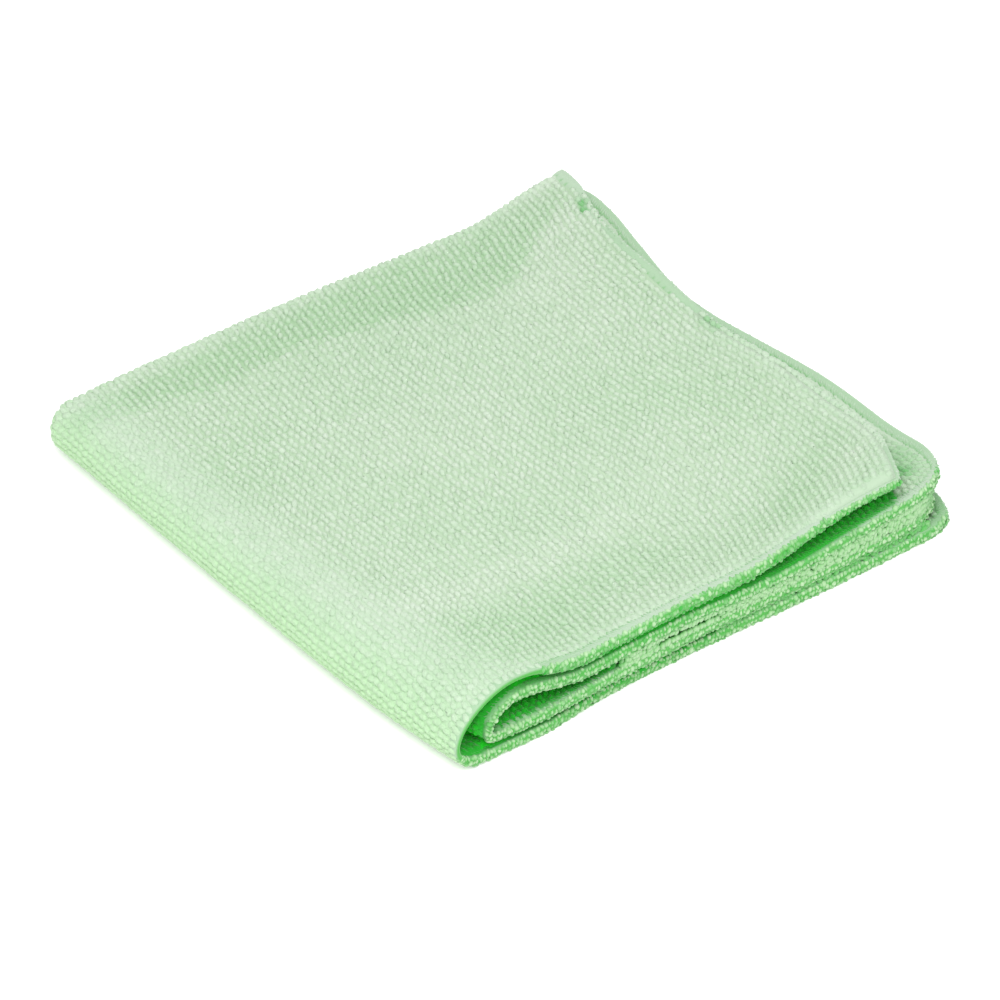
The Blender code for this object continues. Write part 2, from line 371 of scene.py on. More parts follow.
FINE = np.linspace(-1.0, 1.0, 1201)
LINES = np.linspace(-1.0, 1.0, 61)
SHARES = np.linspace(0.0, 1.0, 601)


def even_lines(along_u, reach):
    """For lines across the sheet, u (or v) at even shares of their length, and that length."""
    at, line = np.meshgrid(FINE, LINES, indexing="ij")
    place, _, _, normal = surface(at, line) if along_u else surface(line, at)
    lengths = np.stack([measured(path) for path in np.moveaxis(place + reach * normal, 1, 0)])
    table = np.stack([np.interp(SHARES, path / path[-1], FINE) for path in lengths])
    return table, lengths[:, -1].mean()


def looked_up(table, line, share):
    """Value of a table of lines, between its lines and shares."""
    i = np.clip((line + 1) / 2 * (len(LINES) - 1), 0, len(LINES) - 1.001)
    j = np.clip(share * (len(SHARES) - 1), 0, len(SHARES) - 1.001)
    i0 = i.astype(int)
    j0 = j.astype(int)
    low = table[i0, j0] * (1 - j + j0) + table[i0, j0 + 1] * (j - j0)
    high = table[i0 + 1, j0] * (1 - j + j0) + table[i0 + 1, j0 + 1] * (j - j0)
    return low * (1 - i + i0) + high * (i - i0)


def chart(reach):
    """Map of the sheet, or of a face offset from it by reach, in mm along the cloth."""
    u_table, length_a = even_lines(True, reach)
    v_table, length_b = even_lines(False, reach)
    return {"u": u_table, "v": v_table, "a": length_a, "b": length_b}


def on_chart(chart, a, b):
    """u, v of places in mm: a across the bend, b across the crease."""
    u = 2 * a / chart["a"] - 1
    v = 2 * b / chart["b"] - 1
    for _ in range(3):
        u = looked_up(chart["u"], v, a / chart["a"])
        v = looked_up(chart["v"], u, b / chart["b"])
    return u, v


MIDDLE = chart(0.0)
LENGTH_U = MIDDLE["a"]
LENGTH_V = MIDDLE["b"]


def from_side_edge(v):
    """Distance in mm from the hem over the +X side."""
    return (1 - np.abs(v)) * LENGTH_V / 2


def from_far_edge(u):
    """Distance in mm from the hem over the +Y side."""
    return (1 - np.abs(u)) * LENGTH_U / 2


def covered(u, v, front):
    """How far in mm a place lies inside the gap that its face looks into, 0 in the open."""
    t = beyond(CREASE_SHARE, v)
    w = beyond(BEND_SHARE, u)
    layer = np.where(u > 0, np.where(v > 0, 1, 2), np.where(v > 0, 4, 3))
    depth = np.minimum(from_side_edge(v), from_far_edge(u))
    depth = np.where(front & (v > 0), 0.0, depth)
    place = folded(u, v) + CENTRE
    # the faces that look up lie under the layer above, whose edge may be short of theirs
    for lower in (3,) if front else (2, 4):
        beyond_x = curve(EDGE_X[lower - 1], w) - place[..., 0]
        beyond_y = curve(EDGE_Y[lower - 1], t) - place[..., 1]
        # the corner of the layer above is rounded
        radius = CORNER_SHARE[lower - 1] * FLAT_SIDE / 2
        short_x = np.clip(radius - beyond_x, 0.0, None)
        short_y = np.clip(radius - beyond_y, 0.0, None)
        in_corner = (short_x > 0) & (short_y > 0)
        to_rounding = radius - np.hypot(short_x, short_y)
        under = np.where(in_corner, to_rounding, np.minimum(beyond_x, beyond_y))
        flat = (layer == lower) & (np.abs(u) > BEND_SHARE) & (np.abs(v) > CREASE_SHARE)
        depth = np.where(flat, np.clip(under, 0.0, None), depth)
    if front:
        from_crease = np.abs(v) * LENGTH_V / 2 - CREASE_OPEN
        depth = np.minimum(depth, np.clip(from_crease, 0.0, None))
    return depth


def painted_gap_shade(u, v, front, on_hem=False):
    """Share of the painted gap shade: 0 in the open, 0.5 on the floor of a wide gap, 1 well inside.

    It paints shade, and further in bright green bounced light, strong in the gaps that open over the +X
    side and weak in those behind.
    """
    depth = covered(u, v, front)
    place, _, _, normal = surface(u, v)
    gap = gaps(*in_plan(place))
    width = gap[2] if front else np.where(u > 0, gap[1], gap[3])
    width = np.where(np.abs(u) < 1.2 * BEND_SHARE, BEND_GAP, width)
    looks_up = ramp(-0.4, 0.6, normal[..., 2] if front else -normal[..., 2])
    side = from_side_edge(v)
    opens = ramp(-15.0, 5.0, from_far_edge(u) - side) * fall(40.0, 90.0, side)
    weight = BEHIND_WEIGHT + (1 - BEHIND_WEIGHT) * opens
    # light reaches the floor of a wide gap
    inside = 1 - (0.75 if front else 0.9) * ramp(1.6, 3.6, width) * looks_up
    if not front:
        # and the outside of the inner bend, and the lowest gap
        inner_bend = (v < 0) * fall(0.12, 0.35, np.abs(u))
        inside = inside * (1 - 0.40 * inner_bend) * (1 - 0.7 * ramp(0.08, 0.16, -u))
        if on_hem:
            weight = weight * (1 - 0.45 * inner_bend * (u > 0))
    inside = inside * opens
    starts, deep_starts, deep_full = GAP_DEPTHS["hem" if on_hem else "front" if front else "back"]
    if on_hem:
        full = np.where(front & (v < 0), 1.2 + 2.6 * looks_up, 2.3)
    else:
        full = 1.5 + 3.5 * looks_up * front
    deeper = ramp(deep_starts, deep_full, depth) * inside
    total = weight * (0.50 * ramp(starts, full, depth) + 0.50 * deeper)
    if not front:
        # the far corner of the lowest layer lies in shade
        total = np.maximum(total, 0.16 * ramp(0.75, 0.9, -u) * ramp(0.6, 0.85, v))
    # painted shade: dark spots where shade falls beside the top layer's far hem
    for on_top, x, y, width, share in SHADE_SPOTS:
        if on_top == front:
            away = np.hypot(place[..., 0] - x, place[..., 1] - y)
            spot = share * np.exp(-((away / width) ** 2)) * (u > 0) * ((v > 0) == on_top)
            total = np.maximum(total, spot)
    return total


def in_plan(place):
    """x and y as in the tables."""
    return place[..., 0] + CENTRE[0], place[..., 1] + CENTRE[1]


def uneven(a, b, seed):
    """Slow waves over the sheet, about -1..1, from a few fixed directions."""
    total = 0 * a
    for k in range(5):
        turn = seed * 1.7 + k * 2.4
        size = 17.0 + 9.0 * ((seed * 3 + k * 5) % 7)
        total = total + np.sin((a * np.cos(turn) + b * np.sin(turn)) / size * 2.2 + turn * 3)
    return total / 3


def shade(place):
    """Painted shade and light: how much darker the pile is painted, by place in plan."""
    x, y = in_plan(place)
    brow = curve(BROW_X, y)
    total = BROW_SHADE * fall(brow - 5.0, brow + 3.0, x) * ramp(-101.0, -93.0, x)
    for x0, y0, x1, y1, width, amount in SHADES:
        total = total + amount * ridge(x, y, x0, y0, x1, y1, width)
    return total


# ---- mesh helpers


def new_object(name, data):
    """Object in the scene."""
    thing = bpy.data.objects.new(name, data)
    bpy.context.scene.collection.objects.link(thing)
    return thing


def mesh_piece(name, points, faces, values, material):
    """One object from points in mm, quads, and named numbers for each point."""
    mesh = bpy.data.meshes.new(name)
    mesh.vertices.add(len(points))
    mesh.vertices.foreach_set("co", (points * MM).astype(np.float32).ravel())
    mesh.loops.add(faces.size)
    mesh.loops.foreach_set("vertex_index", faces.astype(np.int32).ravel())
    mesh.polygons.add(len(faces))
    mesh.polygons.foreach_set("loop_start", np.arange(0, faces.size, 4, dtype=np.int32))
    mesh.polygons.foreach_set("use_smooth", np.ones(len(faces), dtype=bool))
    mesh.update(calc_edges=True)
    for key, value in values.items():
        layer = mesh.attributes.new(key, "FLOAT", "POINT")
        layer.data.foreach_set("value", np.asarray(value, dtype=np.float32).ravel())
    mesh.materials.append(material)
    piece = new_object(name, mesh)
    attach(piece, "root")
    return piece


def grid_faces(rows, columns, first=0, closed=False):
    """Quads of a grid of points, whose last row may meet its first."""
    i, j = np.meshgrid(np.arange(rows if closed else rows - 1), np.arange(columns - 1), indexing="ij")
    a = i * columns + j
    b = ((i + 1) % rows) * columns + j
    return first + np.stack([a, b, b + 1, a + 1], -1).reshape(-1, 4)


def dome(rings, sides):
    """Plump back of a strand, 1 in half its length, half its width and its height."""
    rise = np.radians(np.linspace(-8.0, 70.0, rings))[:, None]
    turn = (np.arange(sides) * 2 * np.pi / sides)[None, :]
    out = np.cos(rise) ** 0.85
    x = out * np.cos(turn)
    y = out * np.sin(turn)
    z = np.sin(rise) / np.sin(rise[-1]) + 0 * x
    points = np.stack([x, y, z], -1).reshape(-1, 3)
    i, j = np.meshgrid(np.arange(rings - 1), np.arange(sides), indexing="ij")
    a = i * sides + j
    b = i * sides + (j + 1) % sides
    bands = np.stack([a, b, b + sides, a + sides], -1).reshape(-1, 4)
    last = (rings - 1) * sides
    k = np.arange(sides // 2 - 1)
    cap = last + np.stack([k, k + 1, sides - 2 - k, sides - 1 - k], -1)
    return points, np.concatenate([bands, cap])


def copies(shape, faces, places, axes, sizes):
    """The shape at each place, on its own three axes: points and quads."""
    local = shape[None] * sizes[:, None, :]
    points = places[:, None] + np.einsum("nkc,ncd->nkd", local, axes)
    count = len(shape)
    every = faces[None] + (np.arange(len(places)) * count)[:, None, None]
    return points.reshape(-1, 3), every.reshape(-1, 4)


class Knots:
    """Copies of one small dome, gathered into one piece."""

    def __init__(self, rings, sides):
        self.shape, self.faces = dome(rings, sides)
        self.height = np.clip(self.shape[:, 2], 0.0, 1.0)
        self.points = []
        self.quads = []
        self.values = {"tip": [], "tone_and_shade": [], "gap_shade": []}

    def add(self, places, axes, sizes, tip, tone_and_shade, gap_shade):
        """Copies at the places: for each point of the dome its share of the lit colour over the painted
        root shade, for each copy its tone with painted shade and its share of the painted gap shade.
        """
        points, quads = copies(self.shape, self.faces, places, axes, sizes)
        self.quads.append(quads + sum(len(earlier) for earlier in self.points))
        self.points.append(points)
        self.values["tip"].append(np.tile(tip, len(places)))
        self.values["tone_and_shade"].append(np.repeat(np.clip(tone_and_shade, 0.0, 1.0), len(self.shape)))
        self.values["gap_shade"].append(np.repeat(gap_shade, len(self.shape)))

    def piece(self, name, material):
        """The object, with nothing below the floor."""
        points = np.concatenate(self.points)
        points[:, 2] = np.maximum(points[:, 2], 0.0)
        values = {key: np.concatenate(value) for key, value in self.values.items()}
        return mesh_piece(name, points, np.concatenate(self.quads), values, material)


# ---- materials


def set_inputs(node, values):
    """Plain values on a node's inputs, by name or number."""
    for key, value in values.items():
        node.inputs[key].default_value = value


def principled(name, values):
    """New material, and its shader with plain values on it."""
    material = bpy.data.materials.new(name)
    material.use_nodes = True
    shader = material.node_tree.nodes["Principled BSDF"]
    set_inputs(shader, values)
    return material, shader


def add(material, kind, **settings):
    """New node with those settings."""
    node = material.node_tree.nodes.new(kind)
    for key, value in settings.items():
        setattr(node, key, value)
    return node


def join(material, out, into):
    """Link from an output to an input."""
    material.node_tree.links.new(out, into)


def attribute(material, name):
    """Number that the mesh carries."""
    return add(material, "ShaderNodeAttribute", attribute_name=name).outputs["Fac"]


def mixed(material, factor, first, second, blend="MIX"):
    """Colour between two colours or sockets, by a socket."""
    node = add(material, "ShaderNodeMix", data_type="RGBA", blend_type=blend)
    join(material, factor, node.inputs["Factor"])
    for index, colour in ((6, first), (7, second)):
        if isinstance(colour, tuple):
            node.inputs[index].default_value = (*colour, 1.0)
        else:
            join(material, colour, node.inputs[index])
    return node.outputs[2]


def clamped(material, value, scale, offset):
    """value * scale + offset, held between 0 and 1."""
    node = add(material, "ShaderNodeMath", operation="MULTIPLY_ADD", use_clamp=True)
    join(material, value, node.inputs[0])
    set_inputs(node, {1: scale, 2: offset})
    return node.outputs[0]


PALE = (0.515, 0.61, 0.495)  # lit loops
# the tone and the painted shade multiply the colour by this
DARKER = (0.77, 0.91, 0.76)  # what the tint multiplies them by
# painted shade: the darker colour at the foot of the loops and between them
ROOT_SHADE = (0.44, 0.55, 0.41)  # between the loops
# painted light: the greener colour where the pile faces sideways or down
FACING_LIGHT_GREEN = (0.465, 0.705, 0.395)  # loops low on the bend
# painted shade just inside the gaps
GAP_EDGE_SHADE = (0.022, 0.35, 0.028)  # just inside a gap, and all over a wide one
# painted bounced green light well inside the gaps
DEEP_GAP_BOUNCE_LIGHT = (0.010, 0.93, 0.015)  # well inside a narrow one
HEM = (0.465, 0.555, 0.455)
# painted shade: the thread's colour on the side edges, greener and less grey than on the far edges
SHADED_RIM = (0.42, 0.60, 0.365)  # thread over the edge
# painted shade between the knots of the edge's thread
RIM_ROOT_SHADE = (0.10, 0.40, 0.08)  # and between its knots


def fabric(name, pale, root, bump_scale, bump_depth):
    """Matt yarn with painted light and shade: paler at the tips and darker at the roots, greener where it
    faces sideways or down, and painted shade and bounced green light inside the gaps.
    """
    cloth = {"Roughness": 0.92, "Specular IOR Level": 0.2, "Sheen Weight": 0.35}
    sheen = {"Sheen Roughness": 0.5, "Sheen Tint": (0.9, 1.0, 0.88, 1.0)}
    material, shader = principled(name, {**cloth, **sheen})
    place = add(material, "ShaderNodeTexCoord").outputs["Object"]
    tip, tone_and_shade, facing_light, gap_shade = (attribute(material, key) for key in ("tip", "tone_and_shade", "facing_light", "gap_shade"))
    # painted shade at the roots, the lit colour at the tips
    body = mixed(material, tip, root, pale)
    # tone that differs at random, with painted shade
    body = mixed(material, tone_and_shade, body, DARKER, blend="MULTIPLY")
    # painted light by how the surface faces
    body = mixed(material, facing_light, body, FACING_LIGHT_GREEN)
    # painted gap shade, and further in painted bounced green light
    body = mixed(material, clamped(material, gap_shade, 2.0, 0.0), body, GAP_EDGE_SHADE)
    body = mixed(material, clamped(material, gap_shade, 2.0, -1.0), body, DEEP_GAP_BOUNCE_LIGHT)
    join(material, body, shader.inputs["Base Color"])
    fibres = add(material, "ShaderNodeTexNoise")
    set_inputs(fibres, {"Scale": bump_scale, "Detail": 3.0})
    join(material, place, fibres.inputs["Vector"])
    bump = add(material, "ShaderNodeBump")
    set_inputs(bump, {"Strength": 1.0, "Distance": bump_depth})
    join(material, fibres.outputs["Fac"], bump.inputs["Height"])
    join(material, bump.outputs["Normal"], shader.inputs["Normal"])
    return material


# ---- sheet


def ground_sheet(material):
    """Closed thin mesh of the knitted ground, inside the pile and the hem."""
    inner = 2.0  # the rim stays this far inside the hem's edge

    def stations(length, share):
        """Even steps from edge to edge, with finer ones round the fold."""
        start = 1 - 2 * inner / length
        steps = int((start - share) * length / 2 / GROUND_STEP)
        flat = np.linspace(share, start, steps + 1)[1:]
        fold = np.linspace(-share, share, FOLD_STEPS + 1)
        return np.concatenate([-flat[::-1], fold, flat])

    u = stations(LENGTH_U, BEND_SHARE)
    v = stations(LENGTH_V, CREASE_SHARE)
    uu, vv = np.meshgrid(u, v, indexing="ij")
    place, _, _, normal = surface(uu, vv)
    rows, columns = uu.shape
    flat_front = worn(uu, vv, True)
    flat_back = worn(uu, vv, False)
    to_back = (GROUND_HALF + WORN_SWELL * flat_back) * (1 - 0.9 * turned_in(uu, vv))
    front = (place + normal * (GROUND_HALF + WORN_SWELL * flat_front)[..., None]).reshape(-1, 3)
    back = (place - normal * to_back[..., None]).reshape(-1, 3)
    count = len(front)
    faces = [grid_faces(rows, columns)[:, ::-1], grid_faces(rows, columns, count)]
    i = np.arange(rows)
    j = np.arange(columns)
    ring = np.concatenate(
        [i[:-1] * columns, (rows - 1) * columns + j[:-1], i[:0:-1] * columns + columns - 1, j[:0:-1]]
    )
    after = np.roll(ring, -1)
    faces.append(np.stack([ring, after, after + count, ring + count], -1))
    # painted light by facing, and painted shade on the bend's middle
    facing_light, bend_middle_shade = painted_facing_tones(uu, normal)
    # painted shade of the lying cloth, over an even tone
    darker = np.clip(0.3 + 1.2 * shade(place), 0.0, 1.0)

    def both(on_front, on_back):
        return np.concatenate([on_front.ravel(), on_back.ravel()])

    # the ground takes the painted root shade, less of it where the pile is worn flat
    values = {
        "tip": both(0.7 * flat_front, 0.7 * flat_back),
        "tone_and_shade": both(np.minimum(darker + bend_middle_shade, 1.0), 0.3 + 0 * darker),
        "facing_light": both(facing_light * flat_front, 0 * facing_light),
        "gap_shade": both(painted_gap_shade(uu, vv, True), painted_gap_shade(uu, vv, False)),
    }
    points = np.concatenate([front, back])
    return mesh_piece("cloth_sheet", points, np.concatenate(faces), values, material)


# ---- pile


def painted_facing_tones(u, normal):
    """Painted light and shade by how the pile faces: the share of the greener colour painted where
    it faces sideways or down, and the share of painted shade on the bend's middle."""
    facing_light = 0.5 * (1 - normal[..., 2])
    return facing_light, 2.0 * facing_light * (1 - facing_light) * (np.abs(u) < 2 * BEND_SHARE)


def worn(u, v, front):
    """Share by which the pile is worn flat: on the folds, beside the open hems, at the corners."""
    side = from_side_edge(v)
    far = from_far_edge(u)
    flat = fall(BEND_SHARE, 2.2 * BEND_SHARE, np.abs(u))
    if front:
        top = (u > 0) & (v > 0)
        by_hem = fall(HEM_WIDTH, HEM_WIDTH + 6.0, side)
        corner = fall(7.0, 20.0, np.hypot(side, far))
        by_far = fall(1.5, 7.0, far) * ramp(0.40, 0.60, v)
        flat = np.maximum(flat, top * np.maximum(np.maximum(by_hem, corner), by_far))
        return np.maximum(flat, fall(0.6 * CREASE_SHARE, 1.3 * CREASE_SHARE, np.abs(v)))
    shown = (u > 0) & (v < 0)
    return np.maximum(flat, shown * fall(12.0, 20.0, far))


def pile_starts(u, v, front):
    """Whether a place is far enough in from the hem for loops."""
    bare = np.full_like(u, HEM_WIDTH)
    beside = np.full_like(u, HEM_WIDTH + HEM_TO_LOOPS)
    if front:
        far = curve(FAR_HEM_BARE, np.clip(v, 0.0, 1.0))
        bare = np.where((u > 0) & (v > 0), far, bare)
        # loops reach over the hem inside the hollow and on the outer bend
        hollow = (v < 0) & (np.abs(u) < 0.32)
        outer_bend = (v > 0) & (u > -0.06) & (u < 0.15)
        beside = np.where(hollow | outer_bend, OVER_HEM, beside)
    else:
        beside = np.where(turned_in(u, v) > 0.1, TUCKED_HEM_TO_LOOPS, beside)
    return (from_far_edge(u) > bare + 0.4) & (from_side_edge(v) > beside)


def lattice(front):
    """Loop places a, b in mm and u, v over one face of the sheet, a little uneven."""
    face = chart(LOOP_TOP * 0.8 if front else -LOOP_TOP * 0.5)
    rows = face["a"] - 1.1 - np.arange(0.0, face["a"] - 2.5, ROW_PITCH)[::-1]
    loops = np.arange(HEM_WIDTH + 0.8 - LOOP_PITCH, face["b"] - 1.7, LOOP_PITCH)
    a, b = np.meshgrid(rows, loops, indexing="ij")
    chance = np.random.default_rng(11)
    a = a + 0.35 * uneven(a, b, 1) + chance.normal(0, 0.10, a.shape)
    b = b + 0.5 * uneven(a, b, 2) + chance.normal(0, 0.24, b.shape)
    u, v = on_chart(face, a, b)
    kept = pile_starts(u, v, front)
    return a[kept], b[kept], u[kept], v[kept]


def pile_piece(name, chosen, front, sides, material, chance):
    """Loops at the chosen places a, b, u, v, on the front or the back."""
    a, b, u, v = chosen
    count = len(a)
    place, to_u, to_v, normal = surface(u, v)
    if not front:
        normal = -normal
    # rows run along v
    turn = np.radians(LOOP_TURN) + chance.normal(0, TURN_SPREAD, count) + 0.15 * uneven(a, b, 3)
    ahead = np.cos(turn)[:, None] * to_v + np.sin(turn)[:, None] * to_u
    lean = 0.08 * uneven(a, b, 4) + chance.normal(0, LEAN_SPREAD, count)
    lean_2 = 0.10 + 0.08 * uneven(a, b, 5) + chance.normal(0, LEAN_SPREAD, count)
    side = unit(np.cross(normal, ahead))
    up = unit(normal + lean[:, None] * side + lean_2[:, None] * ahead)
    ahead = unit(ahead - np.sum(ahead * up, -1, keepdims=True) * up)
    side = np.cross(up, ahead)
    edge = np.minimum(from_side_edge(v), from_far_edge(u))
    short = 0.90 + 0.10 * ramp(HEM_WIDTH, HEM_WIDTH + 5.0, edge)
    flat = worn(u, v, front)
    # painted light by facing, and painted shade on the bend's middle
    facing_light, bend_middle_shade = painted_facing_tones(u, normal)
    foot = LOOP_FOOT + 0.6 * flat
    size = 1 + chance.normal(0, SIZE_SPREAD, (count, 3)) * (1 - 0.4 * flat)[:, None]
    size[:, :2] = size[:, :2] * (1 + np.outer(flat, (0.05, 0.16)))
    size[:, 2] = np.minimum(size[:, 2], 1.04) * short * (0.97 + 0.04 * uneven(a, b, 6))
    size = size * np.array([*LOOP_SIZE, 1.0])
    size[:, 2] = size[:, 2] * (LOOP_TOP - foot)
    shape, faces = dome(3, sides)
    axes = np.stack([ahead, side, up], 1)
    points, quads = copies(shape, faces, place + foot[:, None] * up, axes, size)
    points = points + chance.normal(0, KNOBBLE, points.shape)
    points[:, 2] = np.maximum(points[:, 2], 0.0)
    # painted shade and light by place in plan
    painted_shading = shade(place)[:, None]
    # share of the lit colour over the painted root shade: more up the loop, facing down and where worn
    # flat, less where painted shade falls
    tip = 0.25 + 0.75 * shape[:, 2] + 0.7 * facing_light[:, None] + 0.2 * flat[:, None]
    tip = np.clip(tip - 0.45 * np.maximum(painted_shading, 0.0) * (1 - shape[:, 2]), 0.0, 1.0)
    # painted shade, strongest at the roots
    darker = painted_shading * (1.6 - 0.9 * tip)
    # slow tone that differs at random
    tone_and_shade_patch = 0.08 * uneven(a, b, 12) + 0.08 * uneven(2.2 * a, 2.2 * b, 13)
    # worn pile a little darker on the front; painted shade on the back's worn strip beside the far edge,
    # and on the bend's middle
    tone_and_shade_patch = tone_and_shade_patch + (0.12 if front else 0.7) * flat
    tone_and_shade_patch = tone_and_shade_patch + bend_middle_shade * front
    tone_and_shade = 0.3 + (chance.normal(0, 0.11, count) + tone_and_shade_patch)[:, None] + darker
    values = {
        "tip": tip,
        "tone_and_shade": np.clip(tone_and_shade, 0.0, 1.0),
        "gap_shade": np.repeat(painted_gap_shade(u, v, front), len(shape)),
        "facing_light": np.repeat(facing_light, len(shape)),
    }
    return mesh_piece(name, points, quads, values, material)


def pile(material):
    """Loops over all that shows: the outer faces, and the gaps near their openings."""
    chance = np.random.default_rng(5)
    pieces = []
    for front in (True, False):
        a, b, u, v = lattice(front)
        side = from_side_edge(v)
        far = from_far_edge(u)
        shallow = np.minimum(side, far) < SHOW_DEPTH
        beside_bend = ~shallow & (side < BEND_SHOW_DEPTH)
        # the open corners show more, where the top one stands up
        corner = np.maximum(side, far) < CORNER_SHOW_DEPTH
        outer = v > -CREASE_SHARE
        top = outer & (u > BEND_SHARE)
        near = u < NEAR_SHARE
        # (name, which places, sides of a loop)
        if front:
            parts = (
                ("pile_top_near", top & near, 8),
                ("pile_top_far", top & ~near, 8),
                ("pile_bend", outer & (np.abs(u) <= BEND_SHARE), 8),
                ("pile_under", outer & (u < -BEND_SHARE), 6),
                ("pile_gap_middle", ~outer & shallow, 6),
                ("pile_hollow", ~outer & beside_bend & (np.abs(u) < 0.30), 6),
                ("pile_crease_gap", ~outer & ~shallow & (v > -2.2 * CREASE_SHARE), 6),
            )
        else:
            parts = (
                ("pile_gap_back", shallow | corner, 6),
                ("pile_bend_gap", beside_bend & (np.abs(u) < 0.14), 6),
            )
        for name, mask, sides in parts:
            chosen = (a[mask], b[mask], u[mask], v[mask])
            pieces.append(pile_piece(name, chosen, front, sides, material, chance))
    return pieces


# ---- hem


def border(step):
    """Places a, b in mm once round the edge of the sheet, and the way inwards in a and b."""
    def side(length):
        count = int(round(length / step))
        return (np.arange(count) + 0.5) / count * length

    a = side(LENGTH_U)
    b = side(LENGTH_V)
    sides = (
        (a, LENGTH_V, 0.0, -1.0),
        (LENGTH_U, b[::-1], -1.0, 0.0),
        (a[::-1], 0.0, 0.0, 1.0),
        (0.0, b, 1.0, 0.0),
    )
    return np.concatenate([np.stack(np.broadcast_arrays(*row)) for row in sides], axis=1)


def inset(a, b, in_a, in_b, mm):
    """The border moved inwards, drawn together near the corners."""
    zone = 12.0

    def pulled(at, length, moves):
        low = np.clip((zone - at) / zone, 0.0, 1.0)
        high = np.clip((at - length + zone) / zone, 0.0, 1.0)
        return np.where(moves != 0, at + moves * mm, at + mm * low - mm * high)

    return pulled(a, LENGTH_U, in_a), pulled(b, LENGTH_V, in_b)


def hem_band(material):
    """Smooth overlocked band round the sheet, wrapped over its edge."""
    a, b, in_a, in_b = border(STITCH_PITCH / 4)
    count = len(a)
    needle = (np.arange(count) % 4 == 0) * 1.0
    # (distance in from the edge, share of the hem's half thickness)
    profile = (
        (HEM_WIDTH + 0.9, 0.40), (HEM_WIDTH + 0.3, 0.60), (HEM_WIDTH - 0.4, 0.82),
        (HEM_WIDTH - 1.4, 0.94), (2.0, 1.00), (1.0, 0.99), (0.45, 0.90), (0.12, 0.60),
    )
    sections = list(profile) + [(0.0, 0.0)] + [(s, -h) for s, h in profile[::-1]]
    edge_u, edge_v = on_chart(MIDDLE, a, b)
    far_top = (edge_u > 0.99) & (edge_v > 0)
    bare = np.where(far_top, curve(FAR_HEM_BARE, np.clip(edge_v, 0, 1)), HEM_WIDTH)
    full = hem_fullness(edge_u, edge_v) * (1 + 0.05 * uneven(a, b, 9))
    points = []
    values = {"tip": [], "tone_and_shade": [], "gap_shade": []}
    for s, h in sections:
        u, v = on_chart(MIDDLE, *inset(a, b, in_a, in_b, s))
        place, _, _, normal = surface(u, v)
        at_needle = np.exp(-(((s - HEM_WIDTH + 0.1) / 0.35) ** 2)) * needle
        half = HEM_HALF * h * full * (1 - 0.4 * at_needle)
        if h > 0:
            # the band lies lower where the pile reaches over it
            half = half * (1 - 0.45 * ramp(bare - 0.3, bare + 1.0, s))
        half = half + TURNED_SHIFT * turned_in(u, v)
        points.append(place + normal * half[:, None])
        # painted shade: the side rims dark at the edge, and dark needle holes
        rim_tip = np.where(in_a != 0, 0.85, ramp(0.1, 0.9, np.array(s)))
        needle_tip = np.where(far_top, 0.9, 0.15) * at_needle
        # painted shade on the hem, with slow tone
        tone_and_shade = hem_shade(edge_u, edge_v, h > 0) + 0.10 * uneven(a, b, 8)
        values["tip"].append(np.clip(rim_tip - needle_tip, 0, 1))
        values["tone_and_shade"].append(np.clip(tone_and_shade, 0, 1))
        values["gap_shade"].append(painted_gap_shade(u, v, h >= 0, on_hem=True))
    points = np.stack(points, 1).reshape(-1, 3)
    values = {key: np.stack(value, 1) for key, value in values.items()}
    faces = grid_faces(count, len(sections), closed=True)[:, ::-1]
    return mesh_piece("hem_band", points, faces, values, material)


def turned_in(u, v):
    """Share by which the side hem is tucked into the gap beside the outer bend."""
    along = ramp(-0.06, 0.0, u) * fall(0.09, 0.20, u)
    return along * (v > 0) * fall(5.0, 9.0, from_side_edge(v))


def hem_fullness(u, v):
    """Share of the hem's full thickness: less beside the bend, where tucked, at the open corner."""
    beside_bend = fall(0.5 * BEND_SHARE, 3.0 * BEND_SHARE, np.abs(u))
    corner = ramp(0.66, 0.90, u) * (v > 0) * fall(8.0, 16.0, from_side_edge(v))
    return (1 - 0.28 * beside_bend) * (1 - 0.60 * turned_in(u, v)) * (1 - 0.42 * corner)


def hem_shade(edge_u, edge_v, front):
    """Share of painted shade on the hem, over an even tone: beside the bend, on the far edges, on the
    lowest layer, where shade falls.
    """
    beside_bend = 0.85 * fall(0.12, 0.40, np.abs(edge_u))
    behind = 0.6 * ((edge_u > 0.99) & (edge_v < 0) & (not front))
    middle = 0.5 * ((edge_u > 0.99) & front) * ramp(0.14, 0.24, edge_v)
    lowest = 0.6 * ((edge_u < -0.6) & (edge_v > 0) & (not front))
    return 0.12 + np.maximum(np.maximum(beside_bend, behind), np.maximum(middle, lowest))


def beside_border(ring, slide, inwards, facing=1.0):
    """Places set in from the border ring and slid along it: u, v, the edge's u, v beside them,
    their points, and the ways outwards, along the edge, and up from the front (or the back).
    """
    a, b, in_a, in_b = ring
    from_corner = 0.2
    a = np.clip(a + np.where(in_a == 0, slide, 0.0), from_corner, LENGTH_U - from_corner)
    b = np.clip(b + np.where(in_b == 0, slide, 0.0), from_corner, LENGTH_V - from_corner)
    u, v = on_chart(MIDDLE, *inset(a, b, in_a, in_b, inwards))
    place, _, _, normal = surface(u, v)
    up = facing * normal
    edge_u, edge_v = on_chart(MIDDLE, a, b)
    outward = unit(folded(edge_u, edge_v) - place)
    outward = unit(outward - np.sum(outward * up, -1, keepdims=True) * up)
    return u, v, edge_u, edge_v, place, outward, np.cross(up, outward), up


